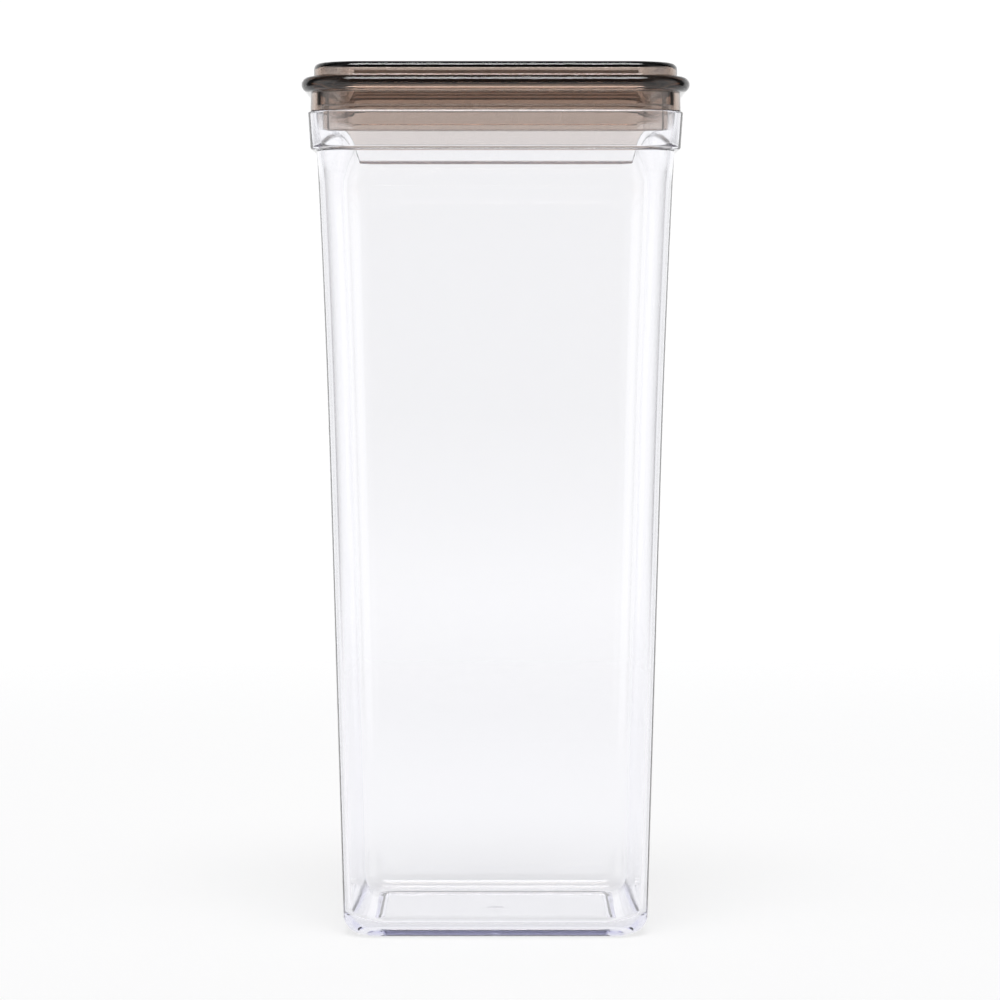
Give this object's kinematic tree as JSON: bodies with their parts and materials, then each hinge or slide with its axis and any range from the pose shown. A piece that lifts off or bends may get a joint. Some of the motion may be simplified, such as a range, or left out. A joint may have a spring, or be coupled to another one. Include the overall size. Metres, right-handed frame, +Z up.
{
  "type": "lidded square canister",
  "caption": "Tall square clear plastic food canister with a stepped collar and a smoke-tinted lift-off lid that plugs into the mouth.",
  "frame": {"origin": "centre of the canister's resting plane, under the middle of the base", "axes": "+Z up along the canister's height, walls facing along X and Y, front wall facing -Y"},
  "size_m": [0.1238, 0.1238, 0.28],
  "materials": {
    "clear_plastic": "clear, glossy, see-through moulded plastic",
    "smoke_plastic": "smoke-brown tinted, glossy, see-through moulded plastic"
  },
  "bodies": {
    "canister": {"canister_body": "clear_plastic"},
    "lid": {"lid_cover": "smoke_plastic", "lid_plug": "smoke_plastic"}
  },
  "joints": [
    {"name": "lid_lift", "type": "slide", "parent": "canister", "child": "lid", "axis": [0, 0, 1], "range_m": [0, 0.06]}
  ]
}
